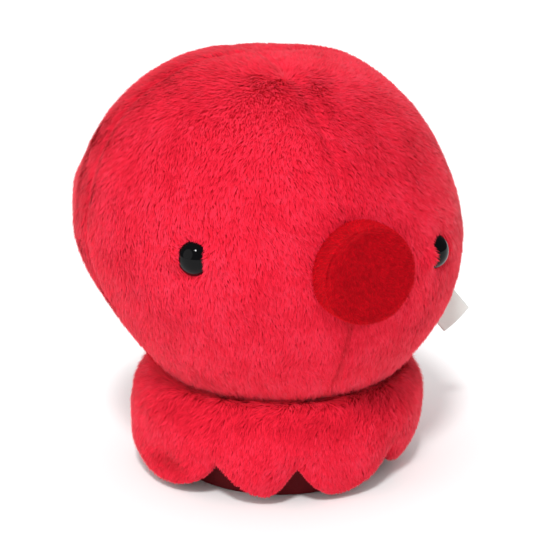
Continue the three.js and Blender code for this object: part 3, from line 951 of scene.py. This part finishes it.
# ---- Skirt and legs -----------------------------------------------------

# Where the skirt's cloth is dented or full: azimuth in degrees, height, reach round, reach up, amount.
SKIRT_DENTS = [
    (-112, 20 * MM, 34 * MM, 14 * MM, 1.5 * MM),
    (-112, 11 * MM, 18 * MM, 10 * MM, 2.6 * MM),
    (72, 27 * MM, 20 * MM, 8 * MM, 0.6 * MM),
    (-74, 12 * MM, 8 * MM, 4.5 * MM, -1.3 * MM),
    (-60, 24 * MM, 12 * MM, 8 * MM, 0.8 * MM),
    (20, 26 * MM, 16 * MM, 8 * MM, 0.6 * MM),
]
# Painted shade and painted light on its nap: shade in the dent of a leg and under the neck seam, a paler band
# lower down; in the same order, with the change of tone last.
SKIRT_PAINTED_LIGHT_AND_SHADE = [
    (-73, 12 * MM, 8 * MM, 3.5 * MM, -0.40),
    (-20, 31 * MM, 200 * MM, 4 * MM, -0.08),
    (-64, 31 * MM, 14 * MM, 3 * MM, -0.10),
    (0, 16 * MM, 200 * MM, 7 * MM, 0.05),
]


def skirt_radius(z, off):
    """Outer radius of the skirt at heights; off is the angle from the middle of the nearest leg."""
    s = settings().skirt
    narrowing = 1 - (s.top_radius / s.radius) ** 2
    above = narrowing * (np.maximum(z - s.wide_z, 0) / (s.top_z - s.wide_z)) ** 3
    below = (np.maximum(s.wide_z - z, 0) / s.below) ** 3
    between = np.abs(off / (LEG_TURN / 2)) ** 3
    drawn = smooth_step(s.groove_z - z, 0, s.groove_z - s.leg_height)
    return s.radius * np.sqrt(1 - above - below) - s.groove * between * drawn


# How each leg hangs, from the first leg on: its height over the table, how far its hem curls in, how
# far its lobe leans back towards the leg before it, and how far the gap after it is moved, in degrees.
LEG_LIFTS = [2.2 * MM, 4.0 * MM, 2.5 * MM, 1.5 * MM, 1.2 * MM, 1.5 * MM, 2.8 * MM, 3.4 * MM]
LEG_CURLS = [3.4 * MM, 6.5 * MM, 4.0 * MM, 2.0 * MM, 1.0 * MM, -1.6 * MM, -3.0 * MM, 3.4 * MM]
LEG_SKEWS = [0.22, 0.2, 0.1, 0.0, 0.1, 0.0, -0.05, -0.22]
GAP_SHIFTS = [-1.0, 1.5, -1.0, 2.0, -3.0, -8.0, 6.8, -3.5]

SPLIT_ROW = 17  # the row where the skirt's panels end and the legs begin
SPLIT_Z = 18.5 * MM  # and its height
FOLD_ROW = SPLIT_ROW + 4  # the row near the legs' fold line
LEG_STEPS = 22  # columns in one leg


def by_leg(azimuth, values):
    """Values at azimuths, running smoothly from the middle of each leg to the next."""
    turns = (azimuth - settings().skirt.first_leg) / LEG_TURN
    step = np.floor(turns).astype(int)
    share = smooth_step(turns - step, 0, 1)
    table = np.array(values)
    return table[step % len(table)] * (1 - share) + table[(step + 1) % len(table)] * share


def skirt_section(azimuth, off, inset):
    """Rows of points down the skirt, round the hem and up the inside of the legs."""
    s = settings().skirt
    flat = np.ones_like(off)
    share = off / (LEG_TURN / 2)
    lobe = np.abs(share + by_leg(azimuth, LEG_SKEWS) * (1 - share**2)) ** s.roundness
    low = by_leg(azimuth, LEG_LIFTS) * (1 - lobe) + s.notch * lobe
    half = (0.86 * s.leg_thick - inset - 0.5 * MM) / 2
    bend = np.minimum(half * 1.3, 0.45 * (SPLIT_Z - low))
    curl = by_leg(azimuth, LEG_CURLS)

    def curled(z):
        return skirt_radius(z, off) - inset - curl * (1 - z / SPLIT_Z) ** 1.5

    # The top edge turns in; then come the outside, the outside of the legs, the hem and their inside.
    tuck = skirt_radius(s.top_z * flat, off) - inset - 4 * MM
    rows = [(tuck, (s.top_z - 0.9 * MM) * flat)]
    heights = np.linspace(s.top_z - 0.4 * MM, SPLIT_Z, SPLIT_ROW)
    rows += [(skirt_radius(z * flat, off) - inset, z * flat) for z in heights]
    for step in (0.86, 0.72, 0.58, 0.44, 0.3, 0.15):
        z = low + bend + step * (SPLIT_Z - low - bend)
        rows.append((curled(z), z))
    for turn in np.linspace(0, math.pi, 11):
        z = low + bend * (1 - math.sin(turn))
        rows.append((curled(z) - half * (1 - math.cos(turn)), z))
    inner_top = np.maximum(s.leg_height, low + 1.2 * MM)
    for step in (0.4, 0.8, 1.0):
        z = low + bend + step * np.maximum(inner_top - low - bend, 0.3 * MM)
        rows.append((curled(z) - 2 * half, z))
    return [np.stack([r * np.sin(azimuth), -r * np.cos(azimuth), z], -1) for r, z in rows]


def skirt_spots(points, spots):
    """The sum of soft spots at points of the skirt."""
    total = np.zeros(len(points))
    azimuth = np.arctan2(points[:, 0], -points[:, 1])
    radius = lengths(points[:, :2])
    for degrees, z, wide, tall, amount in spots:
        turn = (azimuth - math.radians(degrees) + math.pi) % (2 * math.pi) - math.pi
        total += amount * fading(turn * radius, wide) * fading(points[:, 2] - z, tall)
    return total


def rows_of(points, columns):
    """The number of the row that each point of the skirt is in."""
    return (np.arange(len(points)) // columns).astype(float)


def make_skirt_cloth(inset):
    """The sewn and stuffed skin of the skirt and its legs, as one tube."""
    s = settings().skirt
    legs = len(LEG_BODIES)
    offs = np.tile(np.arange(LEG_STEPS) / LEG_STEPS, legs) * LEG_TURN - LEG_TURN / 2
    azimuths = offs + np.repeat(np.arange(legs), LEG_STEPS) * LEG_TURN + s.first_leg
    azimuths += np.radians(by_leg(azimuths - LEG_TURN / 2, GAP_SHIFTS))
    rows = skirt_section(azimuths, offs, inset)
    columns = len(offs)
    points = np.concatenate(rows)
    outer = 1 - smooth_step(rows_of(points, columns), FOLD_ROW + 2, FOLD_ROW + 8)
    lift = skirt_spots(points, SKIRT_DENTS) + 0.6 * MM * lumps(points, 17 * MM, 5)
    lift *= outer * (1 - smooth_step(points[:, 2], s.top_z - 5 * MM, s.top_z))
    points = points + unit_rows(points * LEVEL) * lift[:, None]
    return mesh_object("skirt_cloth", points, grid_faces(len(rows), columns, True)), columns


def comb_skirt(item, columns):
    """Combs the skirt down, and inwards under its hem, with longer strands near the neck."""
    points = coordinates(item)
    row = rows_of(points, columns)
    outward = unit_rows(points * LEVEL)
    under = smooth_step(row, FOLD_ROW + 3, FOLD_ROW + 10)[:, None]
    upper = smooth_step(points[:, 2], 24 * MM, 34 * MM)
    swing = 0.15 + 0.45 * lumps(points, 16 * MM, 10) + 0.35 * lumps(points, 6 * MM, 14)
    nap = -UP * (1 - under) - outward * under
    nap = nap + np.cross(outward, UP) * (swing * (1 + 1.2 * upper))[:, None]
    inner = smooth_step(row, FOLD_ROW + 9, FOLD_ROW + 12)
    hem = smooth_step(row, FOLD_ROW + 1, FOLD_ROW + 7)
    pile = (1 - 0.95 * inner) * (1 + 0.7 * upper) * (1 - 0.4 * hem)
    # The skirt's tone starts from painted shade and painted light, then adds random lumps.
    tone = 0.50 + skirt_spots(points, SKIRT_PAINTED_LIGHT_AND_SHADE)
    tone += 0.10 * lumps(points, 9 * MM, 6) + 0.07 * lumps(points, 3.5 * MM, 7)
    store_nap(item, nap, pile, tone)


class OCTOPUS_OT_skirt(bpy.types.Operator):
    """Sew the skirt and its eight legs and grow their pile"""

    bl_idname = "octopus.skirt"
    bl_label = "Skirt and legs"

    def execute(self, context):
        s = settings()
        whole, columns = make_skirt_cloth(0.8 * s.pile.depth)
        comb_skirt(whole, columns)
        finer = {"Density": s.pile.density * 1.15, "Strand": s.pile.strand * 0.95}

        def in_front(column):
            turn = (column + 0.5) / LEG_STEPS * LEG_TURN - LEG_TURN / 2
            return math.cos(turn + s.skirt.first_leg) > 0

        def on_panel(face, front):
            return face // columns < SPLIT_ROW and in_front(face % columns) == front

        def on_leg(face, number):
            return face // columns >= SPLIT_ROW and face % columns // LEG_STEPS == number

        for name, front in (("front", True), ("back", False)):
            values = long_pile(20 + front, **finer)
            sew_panel(whole, "skirt", name, lambda face: on_panel(face, front), values)
        for number, body in enumerate(LEG_BODIES):
            values = long_pile(30 + number, **finer)
            sew_panel(whole, "leg", number + 1, lambda face: on_leg(face, number), values)
        bpy.data.objects.remove(whole)
        return {"FINISHED"}


# ---- Face: snout and eyes -----------------------------------------------


def turned_object(name, profile, steps, centre, out):
    """A closed turned piece; its profile is (radius, distance out) from its back pole to its front pole."""
    turn = Vector(out).to_track_quat("Z", "Y").to_matrix()
    points, rings = [], []
    for radius, height in profile:
        first = len(points)
        at_pole = radius < 1e-9
        rings.append([first + (0 if at_pole else step) for step in range(steps)])
        for step in range(1 if at_pole else steps):
            at = 2 * math.pi * step / steps
            local = Vector((radius * math.cos(at), radius * math.sin(at), height))
            points.append(Vector(centre) + turn @ local)
    faces = []
    for lower, upper in zip(rings, rings[1:]):
        for step in range(steps):
            following = (step + 1) % steps
            corners = (lower[step], lower[following], upper[following], upper[step])
            faces.append(tuple(dict.fromkeys(corners)))
    return mesh_object(name, points, faces)


SNOUT_BACK = -14.5 * MM  # hidden edge of the side band, inside the head


def snout_profiles():
    """Profiles of the side band and of the end disc, as distances out from the disc's front."""
    radius = settings().face.snout_radius - 0.55 * MM
    edge = -3.3 * MM  # where the band meets the disc
    inner = radius - 1.6 * MM  # the inside of the band
    band = [(inner, SNOUT_BACK), (radius, SNOUT_BACK)]
    for share in (0.3, 0.6, 0.9):
        swell = 0.25 * MM * math.sin(share * math.pi)
        band.append((radius + swell, SNOUT_BACK + share * 10 * MM))
    for turn in np.linspace(0, QUARTER, 5):
        band.append((radius - 0.7 * MM * (1 - math.cos(turn)), edge - 0.9 * MM * (1 - math.sin(turn))))
    band += [(inner, edge - 0.2 * MM), (inner, SNOUT_BACK)]
    crown = radius - 2.2 * MM  # the disc domes within this radius and rolls over outside it
    disc = [(0, edge - 0.4 * MM), (radius - 1.3 * MM, edge - 0.3 * MM)]
    for turn in np.linspace(-0.6, QUARTER, 8):
        disc.append((crown + 1.9 * MM * math.cos(turn), edge + 0.5 * MM + 1.5 * MM * math.sin(turn)))
    for turn in np.linspace(0.15, QUARTER, 10)[:-1]:
        disc.append((crown * math.cos(turn), edge + 2.0 * MM + 0.75 * MM * math.sin(turn)))
    disc.append((0, edge + 2.75 * MM))
    return {"side_band": band, "end_disc": disc}


class OCTOPUS_OT_snout(bpy.types.Operator):
    """Sew the snout's band and end disc and grow their short pile"""

    bl_idname = "octopus.snout"
    bl_label = "Snout"

    def execute(self, context):
        s = settings()
        front, out = snout_axis()
        tint = cloth_material("Snout cloth", dimmed(s.colours.snout, 0.75))
        short_pile = {
            "Strand": s.face.snout_pile,
            "Width": 0.16 * MM,
            "Lift": 0.75,
            "Mess": 0.9,
            "Tuft": 0.9 * MM,
            "Gather": 0.25,
            "Unevenness": 2.6,
            "Seed": 50,
        }
        # The side band's pile gets a paler tone than the end disc's: painted light on the side that faces the
        # light.
        finishes = {"side_band": (0.66, 8e6), "end_disc": (0.42, 14e6)}
        for name, profile in snout_profiles().items():
            level, density = finishes[name]
            cloth = turned_object(f"snout_cloth_{name}", profile, 96, front, out)
            points = coordinates(cloth)
            away = points - front
            radial = unit_rows(away - np.outer(away @ out, out), 1e-6)
            soft = 0.35 * MM * lumps(points, 9 * MM, 11)
            points = points + radial * soft[:, None] + np.outer(soft * 0.6, out)
            move_points(cloth, points)
            nap = np.array([0.25, 0, -1.0]) + 0.5 * radial - out * 0.2
            visible = (away @ out) > SNOUT_BACK + 1 * MM
            tone = level + 0.12 * lumps(points, 6 * MM, 12)
            store_nap(cloth, nap, np.where(visible, 1.0, 0.0), tone)
            values = {**short_pile, "Density": density}
            fur = grow_pile(cloth, f"snout_pile_{name}", short_pile_material(), values)
            give(cloth, tint)
            for item in (cloth, fur):
                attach(item, "head")
            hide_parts(f"snout_{name}")
        return {"FINISHED"}


class OCTOPUS_OT_eyes(bpy.types.Operator):
    """Turn the two domed eyes with their shanks"""

    bl_idname = "octopus.eyes"
    bl_label = "Eyes"

    def execute(self, context):
        f = settings().face
        gloss = plastic_material("Polished eye", settings().colours.eye, 0.05, 0.04, specular=0.13)
        # The dome is the cap of a sphere, and the shank and the flange are below it.
        sphere = (f.eye_radius**2 + f.eye_dome**2) / (2 * f.eye_dome)
        spread = math.atan2(f.eye_radius, sphere - f.eye_dome)
        shank = 2.2 * MM
        profile = [
            (0, -f.eye_reach),
            (shank - 0.6 * MM, -f.eye_reach),
            (shank, 0.6 * MM - f.eye_reach),
            (shank, -0.8 * MM),
            (f.eye_radius - 0.7 * MM, -0.55 * MM),
            (f.eye_radius - 0.15 * MM, -0.3 * MM),
        ]
        for turn in np.linspace(spread, 0, 18):
            profile.append((sphere * math.sin(turn), f.eye_dome - sphere * (1 - math.cos(turn))))
        for side in ("right", "left"):
            centre, out = eye_axis(side)
            eye = turned_object(f"eye_{side}_domed", profile, 64, centre, out)
            give(eye, gloss)
            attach(eye, "head")
            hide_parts(f"eye_{side}")
        return {"FINISHED"}


LABEL_COLUMNS = 17  # points across the ribbon


def outside_head(point):
    """Whether a point is outside the cloth of the head."""
    s = settings().head
    inset = 0.5 * settings().pile.depth
    rise = point[2] - head_middle()[2]
    radius = head_points(np.zeros(1), np.full(1, head_angle(point[2], inset)), inset)[0, 1]
    return math.hypot(point[0] - s.offset - s.slant * rise, point[1]) > abs(radius)


class OCTOPUS_OT_label(bpy.types.Operator):
    """Fold the blank care label into the side seam"""

    bl_idname = "octopus.label"
    bl_label = "Care label"

    def execute(self, context):
        f = settings().face
        joint = JOINTS["label_flap"]
        root = np.array(joint["pos_m"])
        seam = unit_rows(np.array([joint["axis"]], float))[0]
        outward = Vector((seam[2], 0, -seam[0]))
        across = np.array([0, 1.0, 0])
        out = np.array(Matrix.Rotation(f.label_droop, 3, "Y") @ outward)
        up = np.cross(out, across)
        gap = 0.16 * MM  # from the middle of the fold to each layer
        reach = f.label_long - 0.6 * MM
        layer = np.linspace(0, 1, 18)
        turns = np.linspace(0, math.pi, 7)[1:-1]
        depths = np.arange(-9 * MM, 9 * MM, 0.1 * MM)
        columns = []
        for share in np.arange(LABEL_COLUMNS) / (LABEL_COLUMNS - 1) - 0.5:
            base = root + up * share * f.label_wide
            start = next(depth for depth in depths if outside_head(base + out * depth))
            path = [(start + (reach - start) * part, gap) for part in layer]
            path += [(reach + 0.45 * MM * math.sin(turn), gap * math.cos(turn)) for turn in turns]
            path += [(distance, -gap) for distance, _ in path[len(layer) - 1 :: -1]]
            column = []
            for distance, aside in path:
                bend = max(distance, 0) / f.label_long
                curl = 1.3 * MM * bend**2 * math.cos(share * 2.4) + 0.5 * MM * bend * share
                column.append(base + out * distance + across * (aside - curl))
            columns.append(column)
        rows = list(zip(*columns))
        points = [point for row in rows for point in row]
        item = mesh_object("care_label_ribbon", points, grid_faces(len(rows), LABEL_COLUMNS, False))
        thicken(item, "Ribbon", f.label_thick, 0)
        tint = settings().colours.label
        give(item, cloth_material("Label ribbon", tint, 0.12 * MM, 0.06, 0.15, roughness=0.55, sheen=0.2))
        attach(item, "label")
        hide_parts("care_label")
        return {"FINISHED"}


# ---- Inner parts --------------------------------------------------------


class OCTOPUS_OT_inside(bpy.types.Operator):
    """Finish the lining, the base, the fillings, the pellet bag and the washers"""

    bl_idname = "octopus.inside"
    bl_label = "Lining and filling"

    def execute(self, context):
        c = settings().colours
        # The near-black lining paints the shade in the gaps between the legs.
        lining = cloth_material("Lining", c.lining, 0.45 * MM, 0.3, 0.4)
        washer = plastic_material("Washer plastic", c.washer, 0.4, 0.15)
        finishes = {
            "skirt_lining": lining,
            "base_panel": lining,
            "neck_seam_allowance": backing_material(),
            "head_filling": fibre_material(),
            "snout_filling": fibre_material(),
            "skirt_filling": fibre_material(),
            "pellet_bag": cloth_material("Bag cloth", c.bag, 0.6 * MM, 0.2, 0.4),
            "eye_washer_left": washer,
            "eye_washer_right": washer,
        }
        for node, finish in finishes.items():
            item = frame["nodes"][node]
            for slot in item.material_slots:
                slot.link = "OBJECT"
                slot.material = finish
        return {"FINISHED"}


# ---- Stage --------------------------------------------------------------


def sun(name, azimuth, elevation, strength, spread):
    """A soft far light that shines from an azimuth and an elevation, in degrees."""
    data = bpy.data.lights.new(name, "SUN")
    data.energy = strength
    data.angle = math.radians(spread)
    item = bpy.data.objects.new(name, data)
    item.rotation_euler = Vector(direction(azimuth, elevation)).to_track_quat("Z", "Y").to_euler()
    bpy.context.scene.collection.objects.link(item)


class OCTOPUS_OT_stage(bpy.types.Operator):
    """Lay the floor, hang the lights and place the camera"""

    bl_idname = "octopus.stage"
    bl_label = "Stage"

    def execute(self, context):
        s = settings().stage
        scene = context.scene
        half = s.floor_size / 2
        corners = [(-half, -half, 0), (half, -half, 0), (half, half, 0), (-half, half, 0)]
        floor = mesh_object("floor", corners, [(0, 1, 2, 3)])
        give(floor, cloth_material("Floor", settings().colours.floor, 40 * MM, 0.0, 0.0))

        world = bpy.data.worlds.new("Pale room")
        world.use_nodes = True
        sky = Nodes(world.node_tree)
        rays = sky.add("ShaderNodeLightPath").outputs
        lighting = sky.ranged(rays["Is Camera Ray"], 0.0, 1.0, s.room_light, 1.0)
        strength = sky.ranged(rays["Is Glossy Ray"], 0.0, 1.0, lighting, 0.1)
        background = world.node_tree.nodes["Background"]
        background.inputs["Color"].default_value = (1, 1, 1, 1)
        world.node_tree.links.new(strength, background.inputs["Strength"])
        scene.world = world
        sun("Key", -30, 54, s.key_light, 8)
        sun("Side", -80, 20, s.side_light, 60)

        camera = bpy.data.objects.new("Camera", bpy.data.cameras.new("Camera"))
        back = Vector(direction(math.degrees(s.camera_azimuth), math.degrees(s.camera_elevation)))
        camera.location = Vector((0, 0, s.aim_z)) + back * s.camera_distance
        camera.rotation_euler = back.to_track_quat("Z", "Y").to_euler()
        camera.data.lens = s.lens
        camera.data.sensor_width = 36
        camera.data.shift_x = s.shift_x
        camera.data.shift_y = s.shift_y
        camera.data.clip_start = 0.01
        scene.collection.objects.link(camera)
        scene.camera = camera
        scene.view_settings.view_transform = "Standard"
        return {"FINISHED"}


# ---- Panel and registration ---------------------------------------------

OPERATORS = (
    OCTOPUS_OT_head,
    OCTOPUS_OT_skirt,
    OCTOPUS_OT_snout,
    OCTOPUS_OT_eyes,
    OCTOPUS_OT_label,
    OCTOPUS_OT_inside,
    OCTOPUS_OT_stage,
)


class OCTOPUS_PT_panel(bpy.types.Panel):
    """Lists the steps that make the toy"""

    bl_idname = "OCTOPUS_PT_panel"
    bl_label = "Plush octopus"
    bl_space_type = "VIEW_3D"
    bl_region_type = "UI"
    bl_category = "Octopus"

    def draw(self, context):
        for step in OPERATORS:
            self.layout.operator(step.bl_idname)


CLASSES = (
    HeadSettings,
    SkirtSettings,
    PileSettings,
    FaceSettings,
    ColourSettings,
    StageSettings,
    OctopusSettings,
    *OPERATORS,
    OCTOPUS_PT_panel,
)


def register():
    for item in CLASSES:
        bpy.utils.register_class(item)
    bpy.types.Scene.octopus = PointerProperty(type=OctopusSettings)


def unregister():
    del bpy.types.Scene.octopus
    for item in reversed(CLASSES):
        bpy.utils.unregister_class(item)


def main():
    register()
    bpy.ops.octopus.head()
    bpy.ops.octopus.skirt()
    bpy.ops.octopus.snout()
    bpy.ops.octopus.eyes()
    bpy.ops.octopus.label()
    bpy.ops.octopus.inside()
    bpy.ops.octopus.stage()


if __name__ == "__main__":
    main()
